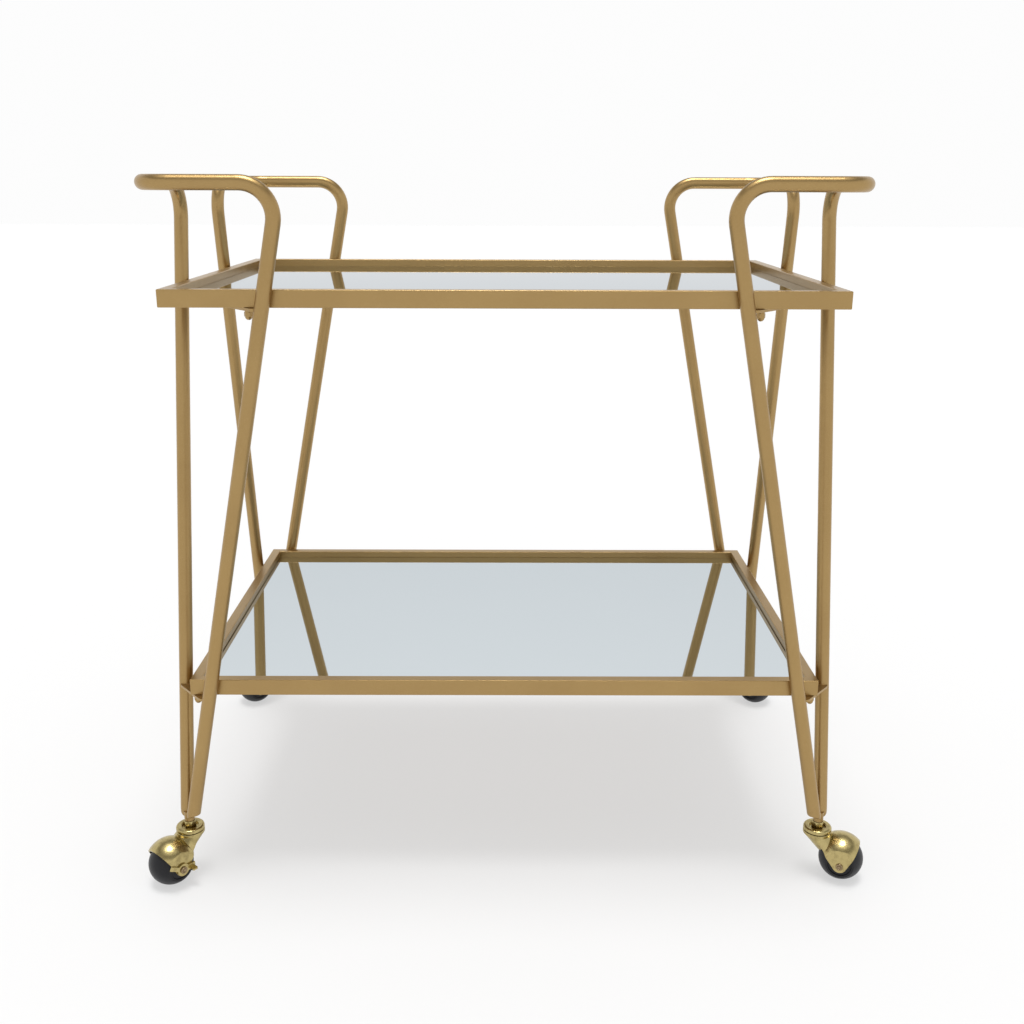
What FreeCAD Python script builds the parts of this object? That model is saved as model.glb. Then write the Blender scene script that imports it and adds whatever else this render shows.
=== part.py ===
# Two-tier bar cart on four hooded ball casters, millimetres, +Z up.
# The origin lies on the floor, in the middle of the cart's footprint at rest.
# Each corner of the frame is one bent tube: a front leg, a handle and a side leg.
import FreeCAD, Part
import math
import os
import Sketcher
from FreeCAD import Placement, Rotation, Vector

SIZES = {
    # shelves
    "shelf_width": 730, "shelf_depth": 478, "top_shelf_height": 698.5, "low_shelf_height": 252.5,
    "rail_width": 12.5, "rail_height": 19, "rail_wall": 1.2, "rail_edge": 1.0,
    "glass_recess": 9, "glass_thickness": 4, "glass_arris": 0.6, "glass_gap": 0.6,
    "board_thickness": 3, "ledge_width": 14,
    # corner tubes
    "tube_diameter": 16, "tube_wall": 1.5, "bend_radius": 34, "handle_height": 806,
    "foot_height": 82, "front_top_x": 229.2, "front_foot_x": 371.2, "side_top_x": 375.7,
    "side_foot_x": 382.4, "side_top_y": 77.3, "side_foot_y": 233.4,
    # gusset straps and their fasteners
    "strap_half_width": 9.5, "strap_thickness": 3, "strap_set_back": 8.5, "stud_set_out": 17,
    "stud_inset": 7.5, "stud_radius": 2.5, "stud_length": 12, "washer_radius": 3.9,
    "washer_thickness": 2, "nut_corner_radius": 4.7, "nut_hex_height": 4.6, "dome_radius": 3.9,
    # caster stems, in the frame
    "stem_x": 379, "stem_y": 240, "stem_radius": 4, "socket_radius": 6, "end_cap_radius": 20,
    "end_cap_tip": 7, "socket_base": 70, "end_cap_base": 75, "stem_top": 80, "head_radius": 5,
    "head_base": 50, "head_top": 52.2, "stem_nut_radius": 7.5, "stem_nut_height": 9.6, "middle_y": 16,
    # swivel bearing
    "race_radius": 16.7, "cup_top": 63, "cup_floor": 60, "cup_base": 58.6, "recess_radius": 9.6,
    "cup_crown": 2.6, "cup_lip": 1.4, "race_top": 57.4, "race_base": 53.8, "ball_circle": 12.4,
    "ball_radius": 1.5, "groove_radius": 1.85, "ball_height": 58, "race_edge": 1.0,
    "neck_back_x": 13, "neck_back_radius": 10.5, "neck_side_x": 21, "neck_side_radius": 20.3,
    "neck_base": 33,
    # wheel and hood
    "trail": 30, "wheel_radius": 26, "wheel_half_width": 20.2, "bush_radius": 5.5,
    "axle_radius": 3, "running_gap": 0.06, "rivet_radius": 4.3, "rivet_height": 1.6,
    "dimple_lift": 1.6,
    "hood_radius": 29.5, "hood_rise": 1.5, "hood_wall": 1.8, "cheek_offset": 23.2,
    "cheek_bend": 5, "tab_radius": 8, "front_edge_angle": 63, "back_edge_angle": 54,
    # brake levers
    "lever_gap": 0.3, "lever_thickness": 2, "lever_radius": 7.6, "lever_length": 16,
    "pedal_width": 7, "pedal_reach": 8, "shoe_length": 18, "shoe_width": 5, "shoe_angle": 28,
}
CORNERS = {
    # which way X and Y each corner lies, the rest heading of its caster, and its brake
    "front_left": (-1, -1, 230.0, True),
    "front_right": (1, -1, 340.0, True),
    "rear_left": (-1, 1, 215.0, False),
    "rear_right": (1, 1, 325.0, False),
}
BALL_COUNT = 14
POLES_ACROSS = Rotation(Vector(0, 0, -1), Vector(-1, 0, 0), Vector(0, 1, 0), "ZXY")

doc = FreeCAD.newDocument("bar_cart")
sheet = doc.addObject("Spreadsheet::Sheet", "Size")
nodes = []


def fill_sheet():
    """Write each driving dimension beside its name."""
    for row, (alias, number) in enumerate(SIZES.items(), start=1):
        sheet.set(f"A{row}", alias.replace("_", " "))
        sheet.set(f"B{row}", str(number))
        sheet.setAlias(f"B{row}", alias)
    doc.recompute()


def size(alias):
    return float(sheet.get(alias))


def bind(obj, **expressions):
    """Bind properties to the sheet; a double underscore stands for a dot."""
    for name, expression in expressions.items():
        obj.setExpression(name.replace("__", "."), str(expression))


def move(obj, x=0, y=0, z=0):
    bind(obj, Placement__Base__x=x, Placement__Base__y=y, Placement__Base__z=z)


def primitive(kind, name, at=(0, 0, 0), turn=None, **expressions):
    """One Part primitive, its sizes and place bound to the sheet."""
    obj = doc.addObject(f"Part::{kind}", name)
    if turn:
        obj.Placement = Placement(Vector(), turn)
    bind(obj, **expressions)
    move(obj, *at)
    return obj


def cylinder(name, radius, low, high, at=("0", "0"), turn=None):
    """An upright cylinder from one height to another."""
    return primitive("Cylinder", name, (at[0], at[1], low), turn,
                     Radius=radius, Height=f"({high}) - ({low})")


def cone(name, low_radius, high_radius, low, high):
    return primitive("Cone", name, ("0", "0", low), None,
                     Radius1=low_radius, Radius2=high_radius, Height=f"({high}) - ({low})")


def sphere(name, radius, x, y, z):
    return primitive("Sphere", name, (x, y, z), None, Radius=radius)


def cut(name, base, tool):
    obj = doc.addObject("Part::Cut", name)
    obj.Base = base
    obj.Tool = tool
    return obj


def common(name, first, second):
    obj = doc.addObject("Part::Common", name)
    obj.Base = first
    obj.Tool = second
    return obj


def fuse(name, *shapes):
    obj = doc.addObject("Part::MultiFuse", name)
    obj.Shapes = list(shapes)
    return obj


def group(name, members):
    obj = doc.addObject("Part::Compound", name)
    obj.Links = members
    return obj


def rounded(name, base, radius, wanted):
    """A fillet on each edge that the test wanted picks."""
    doc.recompute()
    obj = doc.addObject("Part::Fillet", name)
    obj.Base = base
    picked = [i for i, edge in enumerate(base.Shape.Edges, start=1) if wanted(edge)]
    obj.Edges = [(i, radius, radius) for i in picked]
    return obj


def node(obj, label, placement=None):
    """Name a finished piece and put it in the cart's frame."""
    middle = Placement(Vector(0, size("middle_y"), 0), Rotation())
    obj.Label = label
    obj.Placement = middle * (placement or Placement())
    nodes.append(obj)
    return obj


def origin_plane(body, role):
    return next(f for f in body.Origin.OriginFeatures if f.Role == role)


def new_sketch(body, name, role):
    sketch = body.newObject("Sketcher::SketchObject", name)
    sketch.AttachmentSupport = [(origin_plane(body, role), "")]
    sketch.MapMode = "FlatFace"
    return sketch


def fix_point(sketch, geometry, end, name, x, y):
    """Hold one end of a line at a place bound to the sheet."""
    for kind, value, axis in (("DistanceX", x, "x"), ("DistanceY", y, "y")):
        sketch.addConstraint(Sketcher.Constraint(kind, -1, 1, geometry, end, 0.0))
        constraint = f"{name}_{axis}"
        sketch.renameConstraint(sketch.ConstraintCount - 1, constraint)
        sketch.setExpression(f"Constraints.{constraint}", value)


def outline(sketch, name, corners):
    """A closed outline of straight lines through corners bound to the sheet."""
    first = sketch.GeometryCount
    count = len(corners)
    for i in range(count):
        turn = 2 * math.pi * i / count
        following = 2 * math.pi * (i + 1) / count
        sketch.addGeometry(Part.LineSegment(
            Vector(10 * math.cos(turn), 10 * math.sin(turn), 0),
            Vector(10 * math.cos(following), 10 * math.sin(following), 0)), False)
    for i in range(count):
        after = first + (i + 1) % count
        sketch.addConstraint(Sketcher.Constraint("Coincident", first + i, 2, after, 1))
    for i, (x, y) in enumerate(corners):
        fix_point(sketch, first + i, 1, f"{name}{i}", x, y)


def feature(body, kind, name, sketch, **settings):
    obj = body.newObject(f"PartDesign::{kind}", name)
    obj.Profile = sketch
    for setting, value in settings.items():
        setattr(obj, setting, value)
    return obj


# ---------------------------------------------------------------- corner tubes

def rounded_path(points, radius):
    """Straight runs through the points, joined by tangent arcs."""
    edges = []
    start = points[0]
    for before, corner, after in zip(points, points[1:], points[2:]):
        back = (before - corner).normalize()
        ahead = (after - corner).normalize()
        half_turn = (math.pi - back.getAngle(ahead)) / 2
        reach = radius * math.tan(half_turn)
        middle = (back + ahead).normalize() * (radius / math.cos(half_turn) - radius)
        arc_start = corner + back * reach
        arc_end = corner + ahead * reach
        edges.append(Part.LineSegment(start, arc_start).toShape())
        edges.append(Part.Arc(arc_start, corner + middle, arc_end).toShape())
        start = arc_end
    edges.append(Part.LineSegment(start, points[-1]).toShape())
    return Part.Wire(edges)


def tube_path():
    """The front left corner: front leg, two handle runs and side leg."""
    front_y = -size("shelf_depth") / 2 - size("tube_diameter") / 2
    side_x = -size("side_top_x")
    top = size("handle_height")
    foot = size("foot_height")
    front_top = Vector(-size("front_top_x"), front_y, top)
    front_foot = Vector(-size("front_foot_x"), front_y, foot)
    side_top = Vector(side_x, -size("side_top_y"), top)
    side_foot = Vector(-size("side_foot_x"), -size("side_foot_y"), foot)
    overrun = size("tube_diameter") / (top - foot)
    return rounded_path([
        front_foot + (front_foot - front_top) * overrun,
        front_top,
        Vector(side_x, front_y, top),
        side_top,
        side_foot + (side_foot - side_top) * overrun,
    ], size("bend_radius"))


def swept_tube(name, spine, radius):
    """A round bar along the whole spine."""
    start = spine.Shape.Edges[0]
    profile = doc.addObject("Part::Circle", f"{name}_section")
    heading = Rotation(Vector(0, 0, 1), start.tangentAt(start.FirstParameter))
    profile.Placement = Placement(start.valueAt(start.FirstParameter), heading)
    bind(profile, Radius=radius)
    sweep = doc.addObject("Part::Sweep", name)
    sweep.Sections = [profile]
    sweep.Spine = (spine, [f"Edge{i + 1}" for i in range(len(spine.Shape.Edges))])
    sweep.Solid = True
    sweep.Frenet = False
    return sweep


def make_corner_bar():
    """The solid bar of the front left tube, and the tube itself."""
    spine = doc.addObject("Part::Feature", "corner_path")
    spine.Shape = tube_path()
    doc.recompute()
    bar = swept_tube("corner_bar", spine, "Size.tube_diameter / 2")
    bore = swept_tube("corner_bore", spine, "Size.tube_diameter / 2 - Size.tube_wall")
    below = primitive("Box", "below_foot", ("-Size.shelf_width", "-Size.shelf_depth", "0"), None,
                      Length="Size.shelf_width", Width="Size.shelf_depth",
                      Height="Size.foot_height")
    tube = cut("corner_tube", cut("corner_bar_end", bar, below), cut("corner_bore_end", bore, below))
    return bar, tube


def make_end_caps():
    """What closes the front left tube's two ends, tapered towards the stem."""
    taper = primitive("Cone", "cap_taper", ("-Size.stem_x", "-Size.stem_y", "Size.end_cap_base"), None,
                      Radius1="Size.end_cap_tip", Radius2="Size.end_cap_radius",
                      Height="Size.foot_height + 2 - Size.end_cap_base")
    caps = []
    for leg, x, y in (("front", "-Size.front_foot_x", "-(Size.shelf_depth + Size.tube_diameter) / 2"),
                      ("side", "-Size.side_foot_x", "-Size.side_foot_y")):
        end = cylinder(f"{leg}_end", "Size.tube_diameter / 2", "Size.end_cap_base", "Size.foot_height",
                       (x, y))
        caps.append(common(f"{leg}_cap", end, taper))
    return fuse("end_caps", *caps)


def mirrored(name, source, side_x, side_y):
    """The front left shape, mirrored to another corner."""
    shape = source
    for flip, normal, axis in ((side_x > 0, Vector(1, 0, 0), "x"), (side_y > 0, Vector(0, 1, 0), "y")):
        if flip:
            mirror = doc.addObject("Part::Mirroring", f"{name}_mirror_{axis}")
            mirror.Source = shape
            mirror.Normal = normal
            shape = mirror
    return shape


# ---------------------------------------------------------------- gusset straps

def leg_offset(start, end, height):
    """How far out a leg stands at a height, between its foot and its top."""
    rise = f"(({height}) - Size.foot_height) / (Size.handle_height - Size.foot_height)"
    return f"({end} + ({start} - {end}) * {rise})"


def strap_facts(shelf):
    """Expressions for a front left strap: its ends, length, direction and heights."""
    underside = f"(Size.{shelf}_shelf_height - Size.rail_height)"
    middle = f"({underside} - Size.strap_thickness / 2)"
    leg_x = leg_offset("Size.front_top_x", "Size.front_foot_x", middle)
    leg_y = "(Size.shelf_depth / 2 + Size.tube_diameter / 2)"
    run = f"({leg_offset('Size.side_top_x', 'Size.side_foot_x', middle)} - {leg_x})"
    fall = f"({leg_y} - {leg_offset('Size.side_top_y', 'Size.side_foot_y', middle)})"
    return underside, leg_x, leg_y, run, fall


def make_strap(shelf, bar):
    """A flat strap with round ends, saddled between both legs and drilled for its stud."""
    underside, leg_x, leg_y, run, fall = strap_facts(shelf)
    length = f"(sqrt({run} * {run} + {fall} * {fall}) - Size.strap_set_back)"
    angle = f"(180 deg - atan2({fall}; {run}))"
    base = f"{underside} - Size.strap_thickness"
    ends = []
    for end, reach in (("near", "Size.strap_set_back"), ("far", length)):
        x = f"-{leg_x} + {reach} * cos({angle})"
        y = f"-{leg_y} + {reach} * sin({angle})"
        ends.append(cylinder(f"{shelf}_strap_{end}", "Size.strap_half_width", base, underside, (x, y)))
    side = "Size.strap_half_width"
    bar_part = primitive("Box", f"{shelf}_strap_middle",
                         (f"-{leg_x} + Size.strap_set_back * cos({angle}) + {side} * sin({angle})",
                          f"-{leg_y} + Size.strap_set_back * sin({angle}) - {side} * cos({angle})", base),
                         None, Length=f"{length} - Size.strap_set_back", Width=f"2 * {side}",
                         Height="Size.strap_thickness")
    bar_part.setExpression("Placement.Rotation.Axis.x", "0")
    bar_part.setExpression("Placement.Rotation.Axis.y", "0")
    bar_part.setExpression("Placement.Rotation.Axis.z", "1")
    bar_part.setExpression("Placement.Rotation.Angle", angle)
    stud = cylinder(f"{shelf}_strap_hole", "Size.stud_radius", base, underside, stud_place(shelf))
    blank = fuse(f"{shelf}_strap_blank", bar_part, *ends)
    return cut(f"{shelf}_strap", cut(f"{shelf}_strap_drilled", blank, stud), bar)


def stud_place(shelf, side_x=-1, side_y=-1):
    """Where a strap's stud stands, under the rail."""
    leg_x = strap_facts(shelf)[1]
    return (f"{side_x} * ({leg_x} + Size.stud_set_out)",
            f"{side_y} * (Size.shelf_depth / 2 - Size.stud_inset)")


def make_fasteners():
    """Weld studs, lock washers and acorn nuts, one of each to a strap."""
    studs, washers, nuts = [], [], []
    for shelf in ("top", "low"):
        underside = f"(Size.{shelf}_shelf_height - Size.rail_height)"
        strap_base = f"({underside} - Size.strap_thickness)"
        nut_top = f"({strap_base} - Size.washer_thickness)"
        hex_base = f"({nut_top} - Size.nut_hex_height)"
        for corner, (side_x, side_y, _, _) in CORNERS.items():
            at = stud_place(shelf, side_x, side_y)
            name = f"{shelf}_{corner}"
            stud_end = f"({underside} - Size.stud_length)"
            studs.append(cylinder(f"stud_{name}", "Size.stud_radius", stud_end, underside, at))
            disc = cylinder(f"washer_disc_{name}", "Size.washer_radius", nut_top, strap_base, at)
            hole = cylinder(f"washer_hole_{name}", "Size.stud_radius", nut_top, strap_base, at)
            washers.append(cut(f"washer_{name}", disc, hole))
            hexagon = primitive("Prism", f"nut_hex_{name}", (*at, hex_base), None,
                                Circumradius="Size.nut_corner_radius",
                                Height="Size.nut_hex_height")
            dome = sphere(f"nut_dome_{name}", "Size.dome_radius", *at, hex_base)
            thread = cylinder(f"nut_thread_{name}", "Size.stud_radius", stud_end, nut_top, at)
            nuts.append(cut(f"nut_{name}", fuse(f"nut_blank_{name}", hexagon, dome), thread))
    node(group("studs", studs), "gusset_studs")
    node(group("washers", washers), "gusset_washers")
    node(group("nuts", nuts), "gusset_acorn_nuts")


def make_frame():
    """The four bent tubes, their straps and the straps' fasteners."""
    bar, tube = make_corner_bar()
    straps = {shelf: make_strap(shelf, bar) for shelf in ("top", "low")}
    for corner, (side_x, side_y, _, _) in CORNERS.items():
        node(shell_of(mirrored(f"loop_{corner}", tube, side_x, side_y)), f"leg_loop_{corner}")
        for shelf, word in (("top", "upper"), ("low", "lower")):
            strap = mirrored(f"{word}_{corner}", straps[shelf], side_x, side_y)
            node(shell_of(strap), f"{word}_gusset_{corner}")
    make_fasteners()


def shell_of(source):
    """A one-member group, so that a shared shape gets a Placement of its own."""
    return group(f"{source.Name}_piece", [source])


# ---------------------------------------------------------------- shelves

def make_rail(label, length, shelf, side):
    """A mitred rectangular tube, outer face along X, turned to its side of the shelf."""
    body = doc.addObject("PartDesign::Body", f"{label}_body")
    section = new_sketch(body, f"{label}_section", "YZ_Plane")
    wall = "Size.rail_wall"
    outline(section, "outer", [("0", "0"), ("Size.rail_width", "0"),
                               ("Size.rail_width", "-Size.rail_height"), ("0", "-Size.rail_height")])
    outline(section, "inner", [(wall, f"-{wall}"), (f"Size.rail_width - {wall}", f"-{wall}"),
                               (f"Size.rail_width - {wall}", f"-Size.rail_height + {wall}"),
                               (wall, f"-Size.rail_height + {wall}")])
    pad = feature(body, "Pad", f"{label}_pad", section, SideType="Symmetric")
    bind(pad, Length=length)
    doc.recompute()
    outer = [f"Edge{i}" for i, edge in enumerate(pad.Shape.Edges, start=1)
             if edge.BoundBox.XLength > size("rail_height") and on_outside(edge.BoundBox)]
    fillet = body.newObject("PartDesign::Fillet", f"{label}_edges")
    fillet.Base = (pad, outer)
    bind(fillet, Radius="Size.rail_edge")
    mitres = new_sketch(body, f"{label}_mitres", "XY_Plane")
    for name, sign in (("left", "-"), ("right", "")):
        end = f"{sign}{length} / 2"
        inner = f"{sign}({length} / 2 - Size.rail_width)"
        outline(mitres, name, [(end, "0"), (end, "Size.rail_width"), (inner, "Size.rail_width")])
    pocket = feature(body, "Pocket", f"{label}_cut", mitres, SideType="Symmetric")
    bind(pocket, Length="4 * Size.rail_height")
    turn = {"front": 0, "right": 90, "rear": 180, "left": 270}[side]
    reach = size("shelf_depth") / 2 if side in ("front", "rear") else size("shelf_width") / 2
    rotation = Rotation(Vector(0, 0, 1), turn)
    base = rotation.multVec(Vector(0, -reach, 0)) + Vector(0, 0, size(f"{shelf}_shelf_height"))
    node(body, label, Placement(base, rotation))


def on_outside(box):
    """Whether a long edge of the section lies on its outer outline."""
    across = min(abs(box.YMin), abs(box.YMin - size("rail_width")))
    upright = min(abs(box.ZMin), abs(box.ZMin + size("rail_height")))
    return across < 0.01 and upright < 0.01


def make_panel(name, gap, low, thickness):
    """A flat panel inside the rails, centred on the shelf."""
    length = f"(Size.shelf_width - 2 * Size.rail_width - 2 * ({gap}))"
    width = f"(Size.shelf_depth - 2 * Size.rail_width - 2 * ({gap}))"
    return primitive("Box", name, (f"-{length} / 2", f"-{width} / 2", low), None,
                     Length=length, Width=width, Height=thickness)


def make_shelf(shelf, word):
    """Rails, mirror, backing board and the ledges that carry them."""
    for side in ("front", "right", "rear", "left"):
        length = "Size.shelf_width" if side in ("front", "rear") else "Size.shelf_depth"
        make_rail(f"{word}_rail_{side}", length, shelf, side)
    height = f"Size.{shelf}_shelf_height"
    glass_base = f"({height} - Size.glass_recess - Size.glass_thickness)"
    board_base = f"({glass_base} - Size.board_thickness)"
    ledge_base = f"({height} - Size.rail_height)"
    pane = make_panel(f"{shelf}_pane", "Size.glass_gap", glass_base, "Size.glass_thickness")
    arris = rounded(f"{shelf}_arris", pane, size("glass_arris"), lambda edge: True)
    node(arris, f"{word}_mirror")
    board = make_panel(f"{shelf}_board", "Size.glass_gap", board_base, "Size.board_thickness")
    node(shell_of(board), f"{word}_backing_board")
    ledge = f"({board_base} - {ledge_base})"
    plate = make_panel(f"{shelf}_ledge_plate", "0", ledge_base, ledge)
    hole = make_panel(f"{shelf}_ledge_hole", "Size.ledge_width", ledge_base, ledge)
    node(cut(f"{shelf}_ledge", plate, hole), f"{word}_ledge")


# ---------------------------------------------------------------- stems and top races

def local_group(label, pieces_at):
    """One piece at each corner's stem, together in one node."""
    members = []
    for corner, (side_x, side_y, _, _) in CORNERS.items():
        piece = pieces_at(corner)
        piece.Placement = Placement(Vector(side_x * size("stem_x"), side_y * size("stem_y"), 0),
                                    Rotation())
        members.append(piece)
    node(group(f"{label}_group", members), label)


def make_sockets():
    """A sleeve bored for each stem, with the tapered caps that close the two tube ends."""
    caps = make_end_caps()
    members = []
    for corner, (side_x, side_y, _, _) in CORNERS.items():
        at = (f"{side_x} * Size.stem_x", f"{side_y} * Size.stem_y")
        sleeve = cylinder(f"sleeve_{corner}", "Size.socket_radius", "Size.socket_base",
                          "Size.foot_height", at)
        bore = cylinder(f"socket_bore_{corner}", "Size.stem_radius", "Size.socket_base",
                        "Size.stem_top", at)
        capped = fuse(f"socket_blank_{corner}", sleeve, mirrored(f"caps_{corner}", caps, side_x, side_y))
        members.append(cut(f"socket_{corner}", capped, bore))
    node(group("sockets", members), "stem_sockets")


def make_stem(corner):
    """The threaded king pin, with its flat head under the lower race."""
    shank = cylinder(f"shank_{corner}", "Size.stem_radius", "Size.head_top", "Size.stem_top")
    head = cylinder(f"head_{corner}", "Size.head_radius", "Size.head_base", "Size.head_top")
    return fuse(f"stem_{corner}", shank, head)


def make_stem_nut(corner):
    """A hexagon nut that locks the stem, standing in the cup."""
    top = "(Size.cup_floor + Size.stem_nut_height)"
    hexagon = primitive("Prism", f"stem_hex_{corner}", ("0", "0", "Size.cup_floor"), None,
                        Circumradius="Size.stem_nut_radius", Height="Size.stem_nut_height")
    crown = cone(f"stem_crown_{corner}", "Size.stem_nut_radius + 2", "Size.stem_nut_radius - 1",
                 "Size.cup_floor", top)
    bore = cylinder(f"stem_thread_{corner}", "Size.stem_radius", "Size.cup_floor", top)
    return cut(f"stem_nut_{corner}", common(f"stem_blank_{corner}", hexagon, crown), bore)


def make_cup(corner):
    """The fixed upper race: a round cup with a ball groove underneath."""
    disc = cylinder(f"cup_disc_{corner}", "Size.race_radius", "Size.cup_base", "Size.cup_top")
    soft = rounded(f"cup_soft_{corner}", disc, size("cup_crown"),
                   lambda edge: edge.Length > size("race_radius") * 6
                   and edge.BoundBox.ZMin > size("cup_top") - 0.01)
    recess = cylinder(f"cup_recess_{corner}", "Size.recess_radius", "Size.cup_floor", "Size.cup_top")
    bore = cylinder(f"cup_bore_{corner}", "Size.stem_radius", "Size.cup_base", "Size.cup_floor")
    groove = primitive("Torus", f"cup_groove_{corner}", ("0", "0", "Size.ball_height"), None,
                       Radius1="Size.ball_circle", Radius2="Size.groove_radius")
    bored = cut(f"cup_bored_{corner}", soft, fuse(f"cup_tools_{corner}", recess, bore, groove))
    return rounded(f"cup_{corner}", bored, size("cup_lip"),
                   lambda edge: edge.BoundBox.ZMin > size("cup_top") - 0.01
                   and edge.BoundBox.XLength < 2 * size("recess_radius") + 0.01)


# ---------------------------------------------------------------- swivelling casters

def wheel_frame(obj, x="0", y="0", z="0"):
    """Move a piece from the axle's centre to the caster's own frame."""
    move(obj, f"Size.trail + {x}", y, f"Size.wheel_radius + {z}")


def cheeked_ball(name, radius, offset, bend):
    """A ball flattened at both ends of the axle, its flats' rims rounded."""
    reach = f"({radius})"
    ball = primitive("Sphere", f"{name}_ball", ("0", "0", "0"), POLES_ACROSS, Radius=reach)
    slab = primitive("Box", f"{name}_slab", (f"-{reach}", f"-({offset})", f"-{reach}"), None,
                     Length=f"2 * {reach}", Width=f"2 * ({offset})", Height=f"2 * {reach}")
    flat = common(f"{name}_flat", ball, slab)
    return rounded(f"{name}_soft", flat, bend,
                   lambda edge: edge.BoundBox.YLength < 0.01 and edge.Length > bend)


def make_vee(corner):
    """The side view of a cheek: a round tab at the axle, opening upwards into a V."""
    body = doc.addObject("PartDesign::Body", f"vee_{corner}")
    sketch = new_sketch(body, f"vee_{corner}_outline", "XZ_Plane")
    reach = "2 * Size.hood_radius"
    lows, highs = [], []
    for sign, angle in (("-", "Size.back_edge_angle"), ("+", "Size.front_edge_angle")):
        x = f"Size.trail {sign} Size.tab_radius * sin({angle})"
        z = f"Size.wheel_radius - Size.tab_radius * cos({angle})"
        lows.append((x, z))
        highs.append((f"{x} {sign} {reach} * cos({angle})", f"{z} + {reach} * sin({angle})"))
    outline(sketch, "vee", [lows[0], lows[1], highs[1], highs[0]])
    pad = feature(body, "Pad", f"vee_{corner}_pad", sketch, SideType="Symmetric")
    bind(pad, Length="4 * Size.hood_radius")
    tab = primitive("Cylinder", f"tab_{corner}", ("0", "0", "0"), Rotation(Vector(1, 0, 0), 90),
                    Radius="Size.tab_radius", Height="2 * Size.hood_radius")
    wheel_frame(tab, y="Size.hood_radius")
    return body, tab


def make_hood(corner):
    """Pressed hood: lower race, neck, dome and two cheeks down to the axle."""
    outer = cheeked_ball(f"outer_{corner}", "Size.hood_radius", "Size.cheek_offset", size("cheek_bend"))
    inner = cheeked_ball(f"inner_{corner}", "Size.hood_radius - Size.hood_wall",
                         "Size.cheek_offset - Size.hood_wall", size("cheek_bend") - size("hood_wall"))
    for ball in (outer, inner):
        wheel_frame(ball, z="Size.hood_rise")
    disc = cylinder(f"race_disc_{corner}", "Size.race_radius", "Size.race_base", "Size.race_top")
    soft = rounded(f"race_soft_{corner}", disc, size("race_edge"),
                   lambda edge: edge.Length > size("race_radius") * 6
                   and edge.BoundBox.ZMin > size("race_top") - 0.01)
    back = neck_loft(f"neck_back_{corner}", "Size.neck_back_x", "Size.neck_back_radius")
    side = neck_loft(f"neck_side_{corner}", "Size.neck_side_x", "Size.neck_side_radius")
    vee, tab = make_vee(corner)
    cheeks = common(f"cheeks_{corner}", fuse(f"dome_{corner}", outer, side),
                    fuse(f"cheek_outline_{corner}", vee, tab))
    lift = "Size.running_gap"
    pocket = cylinder(f"pocket_{corner}", "Size.head_radius + 0.6", "Size.head_base - 3",
                      f"Size.head_top + {lift}")
    channel = primitive("Cylinder", f"channel_{corner}", ("0", "0", "Size.head_base"),
                        Rotation(Vector(0, 1, 0), 135), Radius="Size.head_radius + 0.6",
                        Height="Size.wheel_radius")
    bore = cylinder(f"pin_bore_{corner}", f"Size.stem_radius + {lift}", "Size.head_base", "Size.race_top")
    groove = primitive("Torus", f"groove_{corner}", ("0", "0", "Size.ball_height"), None,
                       Radius1="Size.ball_circle", Radius2="Size.groove_radius")
    axle_hole = axle_cylinder(f"axle_hole_{corner}", "Size.axle_radius",
                              "-Size.hood_radius", "Size.hood_radius")
    blank = fuse(f"hood_blank_{corner}", cheeks, fuse(f"neck_{corner}", soft, back))
    hollow = cut(f"hood_hollow_{corner}", blank, inner)
    tools = fuse(f"hood_tools_{corner}", pocket, channel, bore, groove, axle_hole)
    return cut(f"hood_cut_{corner}", hollow, tools)


def neck_loft(name, low_x, low_radius):
    """A slanting cone from the lower race down into the dome."""
    rings = []
    for end, x, z, radius in (("top", "0", "Size.race_base", "Size.race_radius"),
                              ("foot", low_x, "Size.neck_base", low_radius)):
        ring = doc.addObject("Part::Circle", f"{name}_{end}")
        bind(ring, Radius=radius)
        move(ring, x, "0", z)
        rings.append(ring)
    loft = doc.addObject("Part::Loft", name)
    loft.Sections = rings
    loft.Solid = True
    return loft


def axle_cylinder(name, radius, low, high):
    """A cylinder on the axle's line, from one place across the caster to another."""
    obj = primitive("Cylinder", name, ("0", "0", "0"), Rotation(Vector(1, 0, 0), -90),
                    Radius=radius, Height=f"({high}) - ({low})")
    wheel_frame(obj, y=f"({low})")
    return obj


def make_balls(corner):
    """The ring of bearing balls between the races."""
    balls = []
    for i in range(BALL_COUNT):
        angle = 360 * i / BALL_COUNT
        balls.append(sphere(f"ball{i}_{corner}", "Size.ball_radius", f"Size.ball_circle * cos({angle})",
                            f"Size.ball_circle * sin({angle})", "Size.ball_height"))
    return group(f"balls_{corner}", balls)


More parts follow.
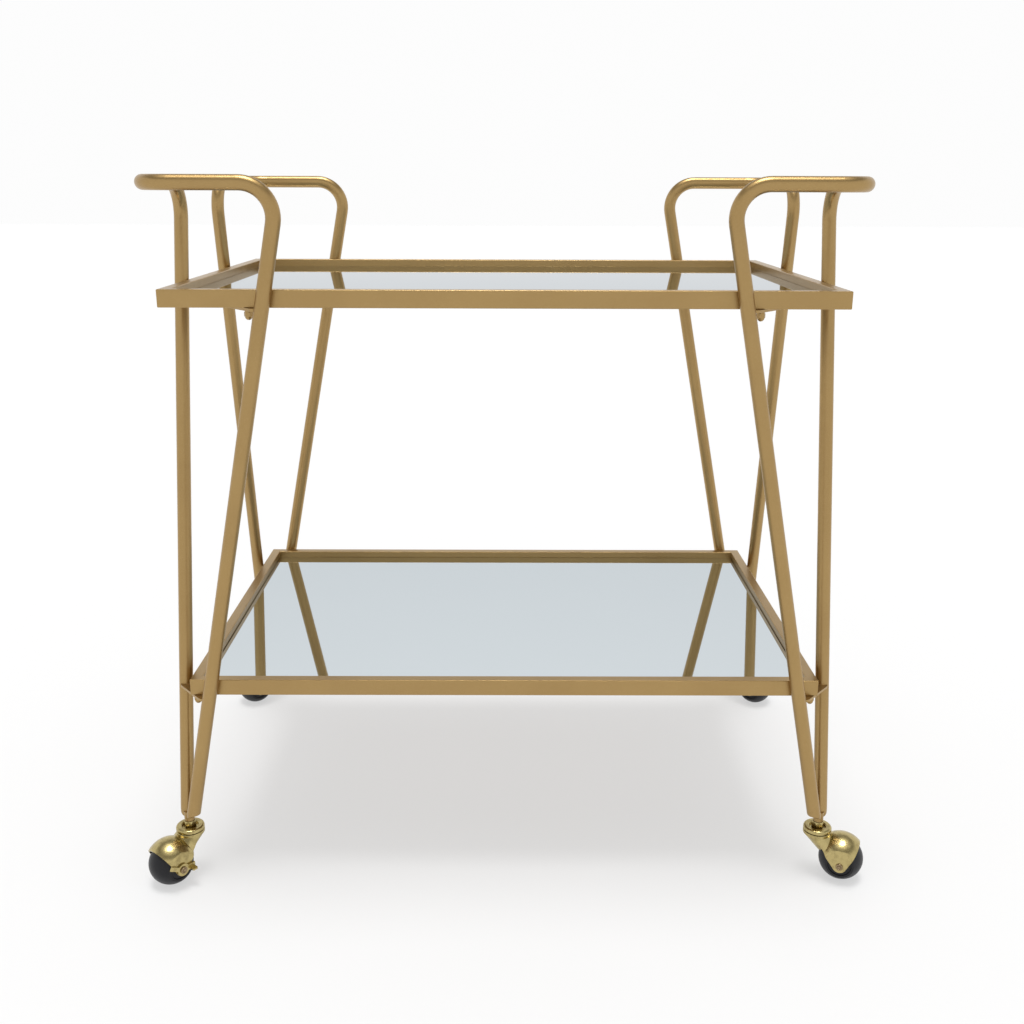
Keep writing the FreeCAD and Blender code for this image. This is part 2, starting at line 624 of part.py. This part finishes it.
def make_axle(corner, braked):
    """A plain axle, riveted over at both cheeks, longer where a lever turns on it."""
    left = "Size.cheek_offset"
    if braked:
        left += " + 2 * Size.lever_gap + Size.lever_thickness"
    right = "-Size.cheek_offset"
    shank = axle_cylinder(f"axle_shank_{corner}", "Size.axle_radius", right, left)
    heads = [axle_cylinder(f"axle_left_{corner}", "Size.rivet_radius", left,
                           f"{left} + Size.rivet_height"),
             axle_cylinder(f"axle_right_{corner}", "Size.rivet_radius",
                           f"{right} - Size.rivet_height", right)]
    whole = fuse(f"axle_whole_{corner}", shank, *heads)
    dimples = [sphere(f"dimple_{side}_{corner}", "Size.axle_radius", "Size.trail", y, "Size.wheel_radius")
               for side, y in (("left", f"{left} + Size.rivet_height + Size.dimple_lift"),
                               ("right", f"{right} - Size.rivet_height - Size.dimple_lift"))]
    blank = cut(f"axle_blank_{corner}", whole, fuse(f"axle_dimples_{corner}", *dimples))
    near = -size("cheek_offset") - size("rivet_height")
    far = -near + (2 * size("lever_gap") + size("lever_thickness") if braked else 0)
    return rounded(f"axle_soft_{corner}", blank, size("rivet_height") / 2,
                   lambda edge: edge.Length > size("rivet_radius") * 5
                   and (edge.BoundBox.YMax < near + 0.01 or edge.BoundBox.YMin > far - 0.01))


def make_wheel(corner):
    """A ball wheel turned in one piece: round tread, dished sides and a bore."""
    body = doc.addObject("PartDesign::Body", f"wheel_{corner}_body")
    profile = new_sketch(body, f"wheel_{corner}_profile", "XY_Plane")
    half, radius, bore = size("wheel_half_width"), size("wheel_radius"), size("bush_radius")
    rim = math.sqrt(radius ** 2 - half ** 2)
    arc = profile.addGeometry(Part.ArcOfCircle(
        Part.Circle(Vector(), Vector(0, 0, 1), radius),
        math.atan2(-half, rim), math.atan2(half, rim)), False)
    lines = [profile.addGeometry(Part.LineSegment(Vector(*a, 0), Vector(*b, 0)), False)
             for a, b in (((rim, half), (bore, half)), ((bore, half), (bore, -half)),
                          ((bore, -half), (rim, -half)))]
    chain = [(arc, 2, lines[0], 1), (lines[0], 2, lines[1], 1),
             (lines[1], 2, lines[2], 1), (lines[2], 2, arc, 1)]
    for first, end, second, start in chain:
        profile.addConstraint(Sketcher.Constraint("Coincident", first, end, second, start))
    profile.addConstraint(Sketcher.Constraint("Coincident", arc, 3, -1, 1))
    profile.addConstraint(Sketcher.Constraint("Radius", arc, radius))
    profile.renameConstraint(profile.ConstraintCount - 1, "tread")
    profile.setExpression("Constraints.tread", "Size.wheel_radius")
    fix_point(profile, lines[1], 1, "upper", "Size.bush_radius", "Size.wheel_half_width")
    fix_point(profile, lines[1], 2, "lower", "Size.bush_radius", "-Size.wheel_half_width")
    for line in (lines[0], lines[2]):
        profile.addConstraint(Sketcher.Constraint("Horizontal", line))
    turned = feature(body, "Revolution", f"wheel_{corner}_turned", profile)
    turned.ReferenceAxis = (profile, ["V_Axis"])
    doc.recompute()
    dish = new_sketch(body, f"wheel_{corner}_dish", "XY_Plane")
    inner, depth = "Size.bush_radius + 2", "Size.wheel_half_width - 1.2"
    outer = "Size.wheel_half_width - 7"
    for name, sign in (("near", "-"), ("far", "")):
        outline(dish, name, [(inner, f"{sign}({depth})"), (outer, f"{sign}({depth})"),
                             (f"{outer} + 1", f"{sign}(Size.wheel_half_width + 1)"),
                             (inner, f"{sign}(Size.wheel_half_width + 1)")])
    groove = feature(body, "Groove", f"wheel_{corner}_dished", dish)
    groove.ReferenceAxis = (dish, ["V_Axis"])
    return body


def make_bush(corner):
    """The bush pressed into the wheel, running on the axle."""
    half = "Size.wheel_half_width"
    body = axle_cylinder(f"bush_body_{corner}", "Size.bush_radius", f"-{half} - 0.4", f"{half} + 0.4")
    bore = axle_cylinder(f"bush_bore_{corner}", "Size.axle_radius + Size.running_gap",
                         f"-{half} - 1", f"{half} + 1")
    return cut(f"bush_{corner}", body, bore)


def make_lever(corner):
    """A foot brake: a ring on the axle, an arm and a pedal folded outwards."""
    inside = "(Size.cheek_offset + Size.lever_gap)"
    outside = f"({inside} + Size.lever_thickness)"
    ring = axle_cylinder(f"lever_ring_{corner}", "Size.lever_radius", inside, outside)
    half = "(Size.pedal_width / 2)"
    arm = primitive("Box", f"lever_arm_{corner}", ("0", "0", "0"), None, Length="Size.lever_length",
                    Width="Size.lever_thickness", Height="Size.pedal_width")
    wheel_frame(arm, "-Size.lever_length", inside, f"-{half}")
    pedal = primitive("Box", f"lever_pedal_{corner}", ("0", "0", "0"), None,
                      Length="Size.pedal_width", Width="Size.pedal_reach",
                      Height="Size.lever_thickness")
    wheel_frame(pedal, "-Size.lever_length", inside, f"-{half}")
    shoe = primitive("Box", f"lever_shoe_{corner}", ("0", "0", "0"), None, Length="Size.shoe_length",
                     Width="Size.lever_thickness", Height="Size.shoe_width")
    move(shoe, z="-Size.shoe_width / 2")
    shoe_turned = group(f"lever_shoe_turned_{corner}", [shoe])
    shoe_turned.Placement = Placement(Vector(), Rotation(Vector(0, 1, 0), -size("shoe_angle")))
    wheel_frame(shoe_turned, y=inside)
    bore = axle_cylinder(f"lever_bore_{corner}", "Size.axle_radius + Size.running_gap",
                         f"{inside} - 1", f"{outside} + 1")
    blank = fuse(f"lever_blank_{corner}", ring, arm, pedal, shoe_turned)
    soft = rounded(f"lever_soft_{corner}", blank, size("lever_thickness"),
                   lambda edge: edge.Length < size("lever_thickness") + 0.01 and at_far_end(edge, blank))
    return cut(f"lever_{corner}", soft, bore)


def at_far_end(edge, blank):
    """Whether an upright edge lies at the pedal's outer corners."""
    return edge.BoundBox.ZLength > size("lever_thickness") / 2 and \
        edge.BoundBox.YMax > blank.Shape.BoundBox.YMax - 0.01


def make_casters():
    """Stems, nuts and cups in the frame, and what swivels and rolls below them."""
    local_group("caster_stems", make_stem)
    local_group("stem_nuts", make_stem_nut)
    local_group("top_races", make_cup)
    for corner, (side_x, side_y, heading, braked) in CORNERS.items():
        stem = Vector(side_x * size("stem_x"), side_y * size("stem_y"), 0)
        caster = Placement(stem, Rotation(Vector(0, 0, 1), heading))
        wheel_centre = Placement(Vector(size("trail"), 0, size("wheel_radius")), Rotation())
        node(make_hood(corner), f"hood_{corner}", caster)
        node(make_balls(corner), f"swivel_balls_{corner}", caster)
        node(shell_of(make_axle(corner, braked)), f"axle_{corner}", caster)
        node(make_wheel(corner), f"wheel_{corner}", caster * wheel_centre)
        node(make_bush(corner), f"wheel_bush_{corner}", caster)
        if braked:
            node(make_lever(corner), f"brake_lever_{corner}", caster)


# ---------------------------------------------------------------- check and write

def check_document():
    """Stop if any object failed or any piece is empty or broken."""
    doc.recompute()
    failed = [obj.Name for obj in doc.Objects if {"Invalid", "Error"} & set(obj.State)]
    if failed:
        raise RuntimeError(f"failed objects: {failed}")
    for piece in nodes:
        if piece.Shape.isNull() or not piece.Shape.isValid() or not piece.Shape.Solids:
            raise RuntimeError(f"{piece.Label} has no sound solid")


def write_parts():
    os.makedirs("parts", exist_ok=True)
    for piece in nodes:
        piece.Shape.exportStep(f"parts/{piece.Label}.step")
        box = piece.Shape.BoundBox
        print(f"{piece.Label:28s} solids {len(piece.Shape.Solids):2d}  volume {piece.Shape.Volume:10.1f}  "
              f"z {box.ZMin:7.2f} to {box.ZMax:7.2f}")


fill_sheet()
make_frame()
make_sockets()
make_shelf("top", "top")
make_shelf("low", "lower")
make_casters()
check_document()
write_parts()
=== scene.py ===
"""Bar cart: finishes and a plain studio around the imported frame."""
import math

import bpy
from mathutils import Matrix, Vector


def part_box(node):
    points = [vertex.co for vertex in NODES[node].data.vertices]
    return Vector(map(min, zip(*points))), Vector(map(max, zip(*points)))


bl_info = {
    "name": "Bar Cart Finishing",
    "version": (1, 0, 0),
    "blender": (4, 5, 0),
    "location": "View3D > Sidebar > Bar Cart",
    "description": "Gives a rolling bar cart its finishes and studio",
    "category": "Object",
}

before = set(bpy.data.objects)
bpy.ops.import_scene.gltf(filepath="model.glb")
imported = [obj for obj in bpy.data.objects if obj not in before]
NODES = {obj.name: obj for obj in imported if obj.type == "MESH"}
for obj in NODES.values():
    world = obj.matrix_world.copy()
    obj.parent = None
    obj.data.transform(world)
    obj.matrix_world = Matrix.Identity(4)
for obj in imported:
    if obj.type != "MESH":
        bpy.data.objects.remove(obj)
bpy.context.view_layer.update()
CORNERS = ("front_left", "front_right", "rear_left", "rear_right")


# ---------------------------------------------------------------- shader maths

class Value:
    """A number on a node socket, so that finishes are written as plain sums."""

    def __init__(self, finish, socket):
        self.finish = finish
        self.socket = socket

    def __add__(self, other):
        return self.finish.math("ADD", self, other)

    __radd__ = __add__

    def __mul__(self, other):
        return self.finish.math("MULTIPLY", self, other)

    __rmul__ = __mul__

    def __sub__(self, other):
        return self.finish.math("SUBTRACT", self, other)

    def __rsub__(self, other):
        return self.finish.math("SUBTRACT", other, self)

    def clamped(self):
        return self.finish.math("MINIMUM", self.finish.math("MAXIMUM", self, 0.0), 1.0)


class Finish:
    """One material and the nodes that make it."""

    def __init__(self, name):
        self.material = bpy.data.materials.new(name)
        self.material.use_nodes = True
        self.tree = self.material.node_tree
        self.shader = self.tree.nodes["Principled BSDF"]
        self.position = self.node("ShaderNodeTexCoord").outputs["Object"]

    def node(self, kind, settings=None, values=None):
        """Add a node: its settings first, then the value or link of each named socket."""
        made = self.tree.nodes.new(kind)
        for name, setting in (settings or {}).items():
            setattr(made, name, setting)
        for name, value in (values or {}).items():
            self.feed(made.inputs[name], value)
        return made

    def feed(self, socket, value):
        if isinstance(value, Value):
            value = value.socket
        if isinstance(value, bpy.types.NodeSocket):
            self.tree.links.new(value, socket)
        else:
            socket.default_value = value

    def math(self, operation, first, second):
        return Value(self, self.node("ShaderNodeMath", {"operation": operation},
                                     {0: first, 1: second}).outputs[0])

    def noise(self, scale, detail=3.0, roughness=0.5, stretch=(1, 1, 1)):
        """Noise between 0 and 1, its size in patches per metre."""
        mapped = self.node("ShaderNodeMapping", None,
                           {"Vector": self.position, "Scale": stretch}).outputs["Vector"]
        made = self.node("ShaderNodeTexNoise", None,
                         {"Vector": mapped, "Scale": scale, "Detail": detail, "Roughness": roughness})
        return Value(self, made.outputs["Fac"])

    def step(self, value, low, high):
        """0 below low, 1 above high, smooth between."""
        made = self.node("ShaderNodeMapRange", {"interpolation_type": "SMOOTHSTEP"},
                         {"Value": value, "From Min": low, "From Max": high})
        return Value(self, made.outputs["Result"])

    def mix(self, factor, first, second):
        made = self.node("ShaderNodeMix", {"data_type": "RGBA"})
        self.feed(made.inputs[0], factor)
        self.feed(made.inputs[6], first)
        self.feed(made.inputs[7], second)
        return made.outputs[2]

    def bump(self, height, strength, distance):
        made = self.node("ShaderNodeBump", None,
                         {"Height": height, "Strength": strength, "Distance": distance})
        return made.outputs["Normal"]

    def set(self, **values):
        """Set the shader's sockets; an underscore stands for a space."""
        for name, value in values.items():
            self.feed(self.shader.inputs[name.replace("_", " ")], value)
        return self.material


def rgba(colour):
    """A setting's three numbers, made opaque."""
    return (*colour[:3], 1.0)


def dress(node_name, material):
    """Give a carried-over piece its finish."""
    slots = NODES[node_name].data.materials
    slots.clear()
    slots.append(material)


def dress_all(prefixes, material):
    """Give one finish to every carried-over piece whose name starts with one of these."""
    for name in NODES:
        if name.startswith(tuple(prefixes)):
            dress(name, material)


# ---------------------------------------------------------------- settings

class BarCartFrameSettings(bpy.types.PropertyGroup):
    gold: bpy.props.FloatVectorProperty(
        name="Gold", description="Main colour of the lacquered frame",
        subtype="COLOR", size=3, default=(0.44, 0.295, 0.118))
    dark_gold: bpy.props.FloatVectorProperty(
        name="Dark gold", description="Colour of the darker patches in the lacquer",
        subtype="COLOR", size=3, default=(0.29, 0.18, 0.068))
    grain: bpy.props.FloatProperty(
        name="Grain", description="Depth of the fine grain in the lacquer",
        default=0.12, min=0.0, max=1.0, subtype="FACTOR")


class BarCartShelfSettings(bpy.types.PropertyGroup):
    silver: bpy.props.FloatVectorProperty(
        name="Silver", description="Tint of the mirrors",
        subtype="COLOR", size=3, default=(0.70, 0.75, 0.775))
    board: bpy.props.FloatVectorProperty(
        name="Board", description="Colour of the backing boards",
        subtype="COLOR", size=3, default=(0.16, 0.11, 0.07))


class BarCartCasterSettings(bpy.types.PropertyGroup):
    brass: bpy.props.FloatVectorProperty(
        name="Brass", description="Colour of the plated hoods, races and nuts",
        subtype="COLOR", size=3, default=(0.50, 0.405, 0.18))
    dull_brass: bpy.props.FloatVectorProperty(
        name="Dull brass", description="Colour of the tarnished patches in the plating",
        subtype="COLOR", size=3, default=(0.27, 0.21, 0.09))
    rivet: bpy.props.FloatVectorProperty(
        name="Rivet", description="Colour of the axles' riveted heads",
        subtype="COLOR", size=3, default=(0.30, 0.22, 0.13))
    tyre: bpy.props.FloatVectorProperty(
        name="Wheel", description="Colour of the wheels",
        subtype="COLOR", size=3, default=(0.007, 0.007, 0.009))


class BarCartStudioSettings(bpy.types.PropertyGroup):
    floor: bpy.props.FloatVectorProperty(
        name="Floor", description="Colour of the floor and backdrop",
        subtype="COLOR", size=3, default=(0.35, 0.35, 0.35))
    floor_glow: bpy.props.FloatProperty(
        name="Floor glow", description="How much light the floor gives off by itself",
        default=0.535, min=0.0)
    sun: bpy.props.FloatProperty(
        name="Overhead light", description="Strength of the light straight above",
        default=2.0, min=0.0)
    sun_width: bpy.props.FloatProperty(
        name="Overhead width", description="Width of the overhead light, as an angle",
        default=math.radians(24.0), subtype="ANGLE")
    lens: bpy.props.FloatProperty(
        name="Lens", description="Focal length of the camera", default=39.06, min=10.0)
    camera_side: bpy.props.FloatProperty(
        name="Camera side", description="How far the camera stands to the right of the middle",
        default=0.00377, unit="LENGTH")
    camera_distance: bpy.props.FloatProperty(
        name="Camera distance", description="How far the camera stands in front of the shelves' middle",
        default=1.41866, unit="LENGTH")
    camera_height: bpy.props.FloatProperty(
        name="Camera height", description="Height of the camera over the floor",
        default=0.80842, unit="LENGTH")
    camera_down: bpy.props.FloatProperty(
        name="Camera down", description="How far the camera looks below the horizon",
        default=0.2898, subtype="ANGLE")
    camera_yaw: bpy.props.FloatProperty(
        name="Camera yaw", description="How far the camera looks to the right",
        default=0.0037, subtype="ANGLE")
    camera_roll: bpy.props.FloatProperty(
        name="Camera roll", description="How far the camera leans",
        default=0.0034, subtype="ANGLE")


# ---------------------------------------------------------------- finishes

def gold_lacquer(settings):
    finish = Finish("satin_gold_lacquer")
    cloud = finish.noise(14.0, 4.0, 0.6)
    grain = finish.noise(1500.0, 2.0, 0.6)
    speck = finish.step(finish.noise(2600.0, 1.0, 0.5), 0.60, 0.74)
    colour = finish.mix((cloud * 0.45 + grain * 0.35).clamped(), rgba(settings.gold),
                        rgba(settings.dark_gold))
    colour = finish.mix(speck * 0.25, colour, (0.85, 0.66, 0.36, 1.0))
    return finish.set(
        Base_Color=colour, Metallic=0.95, Roughness=0.27 + 0.10 * cloud + 0.06 * grain,
        Normal=finish.bump(grain, settings.grain, 0.0002),
        Coat_Weight=0.12, Coat_Roughness=0.18)


def mirror_glass(settings):
    finish = Finish("silvered_glass")
    haze = finish.noise(9.0, 3.0, 0.5)
    dust = finish.step(finish.noise(900.0, 2.0, 0.5), 0.70, 0.80)
    colour = finish.mix(haze * 0.15, rgba(settings.silver), (0.62, 0.68, 0.72, 1.0))
    return finish.set(Base_Color=colour, Metallic=1.0, Roughness=0.015 + 0.02 * haze + 0.05 * dust,
                      Specular_Tint=(0.73, 0.75, 0.77, 1.0))


def fibreboard(settings):
    finish = Finish("backing_fibreboard")
    fibre = finish.noise(120.0, 5.0, 0.7, (1, 4, 4))
    colour = finish.mix(fibre, rgba(settings.board), (0.24, 0.17, 0.11, 1.0))
    return finish.set(Base_Color=colour, Roughness=0.75 + 0.1 * fibre,
                      Normal=finish.bump(fibre, 0.3, 0.0004))


def brass_plate(name, bright, dull):
    finish = Finish(name)
    tarnish = finish.noise(130.0, 4.0, 0.6)
    ripple = finish.noise(260.0, 2.0, 0.5)
    fine = finish.noise(2200.0, 2.0, 0.6)
    colour = finish.mix(finish.step(tarnish, 0.42, 0.70) * 0.6, rgba(bright), rgba(dull))
    return finish.set(
        Base_Color=colour, Metallic=1.0, Roughness=0.17 + 0.18 * tarnish,
        Normal=finish.bump(ripple * 0.8 + fine * 0.05, 0.25, 0.0006))


def zinc_steel():
    finish = Finish("zinc_plated_steel")
    patch = finish.noise(300.0, 3.0, 0.6)
    colour = finish.mix(patch, (0.42, 0.42, 0.43, 1.0), (0.62, 0.61, 0.58, 1.0))
    return finish.set(Base_Color=colour, Metallic=1.0, Roughness=0.22 + 0.15 * patch,
                      Normal=finish.bump(patch, 0.1, 0.0002))


def wheel_rubber(settings):
    finish = Finish("satin_black_wheel")
    scuff = finish.noise(70.0, 5.0, 0.65)
    fine = finish.noise(1400.0, 2.0, 0.6)
    colour = finish.mix(finish.step(scuff, 0.45, 0.8), rgba(settings.tyre), (0.016, 0.016, 0.018, 1.0))
    return finish.set(Base_Color=colour, Roughness=0.30 + 0.22 * scuff, Specular_IOR_Level=0.3,
                      Normal=finish.bump(scuff * 0.6 + fine * 0.2, 0.15, 0.0005))


def black_nylon():
    finish = Finish("black_nylon")
    mottle = finish.noise(500.0, 2.0, 0.5)
    colour = finish.mix(mottle, (0.03, 0.03, 0.032, 1.0), (0.06, 0.06, 0.062, 1.0))
    return finish.set(Base_Color=colour, Roughness=0.5 + 0.1 * mottle)


# ---------------------------------------------------------------- operators

class BARCART_OT_frame(bpy.types.Operator):
    """Lacquer the corner tubes, shelf rims, straps, sockets and strap nuts"""
    bl_idname = "barcart.frame"
    bl_label = "Frame"

    def execute(self, context):
        lacquer = gold_lacquer(context.scene.barcart_frame)
        dress_all(["leg_loop", "upper_gusset", "lower_gusset", "top_rail", "lower_rail",
                   "top_ledge", "lower_ledge", "stem_sockets", "gusset_washers",
                   "gusset_acorn_nuts"], lacquer)
        return {"FINISHED"}


class BARCART_OT_shelves(bpy.types.Operator):
    """Silver the mirrors and finish the boards behind them"""
    bl_idname = "barcart.shelves"
    bl_label = "Shelves"

    def execute(self, context):
        settings = context.scene.barcart_shelf
        dress_all(["top_mirror", "lower_mirror"], mirror_glass(settings))
        dress_all(["top_backing", "lower_backing"], fibreboard(settings))
        return {"FINISHED"}


class BARCART_OT_casters(bpy.types.Operator):
    """Plate the hoods, races, stem nuts and levers, and finish the wheels"""
    bl_idname = "barcart.casters"
    bl_label = "Casters"

    def execute(self, context):
        settings = context.scene.barcart_caster
        brass = brass_plate("bright_brass_plate", settings.brass, settings.dull_brass)
        dress_all(["hood", "top_races", "stem_nuts", "brake_lever"], brass)
        dress_all(["axle"], brass_plate("aged_brass", settings.rivet, settings.dull_brass))
        dress_all(["swivel_balls", "caster_stems", "gusset_studs"], zinc_steel())
        dress_all(["wheel_bush"], black_nylon())
        rubber = wheel_rubber(settings)
        for corner in CORNERS:
            dress(f"wheel_{corner}", rubber)
        return {"FINISHED"}


class BARCART_OT_studio(bpy.types.Operator):
    """Lay the pale floor, hang the soft light and set the camera"""
    bl_idname = "barcart.studio"
    bl_label = "Studio"

    def execute(self, context):
        settings = context.scene.barcart_studio
        make_floor(settings)
        make_light(settings)
        make_world()
        make_camera(settings)
        return {"FINISHED"}


def make_floor(settings):
    bpy.ops.object.select_all(action="DESELECT")
    bpy.ops.mesh.primitive_plane_add(size=1.0, location=(0, 0, 0))
    floor = bpy.context.object
    floor.name = "floor"
    floor.scale = (40, 40, 1)
    bpy.ops.object.transform_apply(location=True, rotation=True, scale=True)
    finish = Finish("pale_floor")
    cloud = finish.noise(0.8, 2.0, 0.5)
    colour = finish.mix(cloud * 0.05, rgba(settings.floor), (0.33, 0.33, 0.34, 1.0))
    floor.data.materials.append(finish.set(
        Base_Color=colour, Roughness=0.8 + 0.05 * cloud, Specular_IOR_Level=0.0,
        Emission_Color=(1.0, 1.0, 1.0, 1.0), Emission_Strength=settings.floor_glow))


def make_light(settings):
    """A wide soft light straight above."""
    data = bpy.data.lights.new("overhead", "SUN")
    data.energy = settings.sun
    data.angle = settings.sun_width
    lamp = bpy.data.objects.new("overhead", data)
    bpy.context.scene.collection.objects.link(lamp)
    lamp.location = (0.0, 0.0, 3.0)


# How bright the walls are, from the horizon (0) to straight overhead (1).
WALL_LEVELS = ((0.0, 0.98), (0.55, 0.98), (0.66, 0.28), (0.80, 0.28), (0.92, 1.0))


def make_world():
    """White walls that dim between the horizon and the ceiling, so that metal shows its curves."""
    world = bpy.data.worlds.new("studio_world")
    bpy.context.scene.world = world
    world.use_nodes = True
    tree = world.node_tree
    direction = tree.nodes.new("ShaderNodeTexCoord")
    parts = tree.nodes.new("ShaderNodeSeparateXYZ")
    ramp = tree.nodes.new("ShaderNodeValToRGB")
    tree.links.new(direction.outputs["Generated"], parts.inputs[0])
    tree.links.new(parts.outputs["Z"], ramp.inputs["Fac"])
    tree.links.new(ramp.outputs["Color"], tree.nodes["Background"].inputs["Color"])
    steps = ramp.color_ramp.elements
    for place, level in WALL_LEVELS:
        step = steps.new(place)
        step.color = (level, level, level, 1.0)
    steps.remove(steps[-1])
    steps.remove(steps[0])
    bpy.context.scene.view_settings.view_transform = "Standard"


def make_camera(settings):
    data = bpy.data.cameras.new("camera")
    data.lens = settings.lens
    data.sensor_width = 36.0
    data.clip_end = 100.0
    camera = bpy.data.objects.new("camera", data)
    bpy.context.scene.collection.objects.link(camera)
    bpy.context.scene.camera = camera
    shelf_low, shelf_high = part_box("top_mirror")
    middle_y = (shelf_low.y + shelf_high.y) / 2
    camera.location = (settings.camera_side, middle_y - settings.camera_distance,
                       settings.camera_height)
    down = settings.camera_down
    yaw = settings.camera_yaw
    ahead = Vector((math.sin(yaw) * math.cos(down), math.cos(yaw) * math.cos(down), -math.sin(down)))
    camera.rotation_euler = ahead.to_track_quat("-Z", "Y").to_euler()
    camera.rotation_euler.rotate_axis("Z", settings.camera_roll)


# ---------------------------------------------------------------- panel and run

class BARCART_PT_panel(bpy.types.Panel):
    """The bar cart's steps, in order"""
    bl_idname = "BARCART_PT_panel"
    bl_label = "Bar Cart"
    bl_space_type = "VIEW_3D"
    bl_region_type = "UI"
    bl_category = "Bar Cart"

    def draw(self, context):
        for step in STEPS:
            self.layout.operator(step.bl_idname)


SETTINGS = {
    "barcart_frame": BarCartFrameSettings,
    "barcart_shelf": BarCartShelfSettings,
    "barcart_caster": BarCartCasterSettings,
    "barcart_studio": BarCartStudioSettings,
}
STEPS = (BARCART_OT_frame, BARCART_OT_shelves, BARCART_OT_casters, BARCART_OT_studio)


def register():
    for made in (*SETTINGS.values(), *STEPS, BARCART_PT_panel):
        bpy.utils.register_class(made)
    for name, group in SETTINGS.items():
        setattr(bpy.types.Scene, name, bpy.props.PointerProperty(type=group))


def unregister():
    for name in SETTINGS:
        delattr(bpy.types.Scene, name)
    for made in (BARCART_PT_panel, *reversed(STEPS), *reversed(tuple(SETTINGS.values()))):
        bpy.utils.unregister_class(made)


def main():
    register()
    for step in ("frame", "shelves", "casters", "studio"):
        getattr(bpy.ops.barcart, step)()


if __name__ == "__main__":
    main()
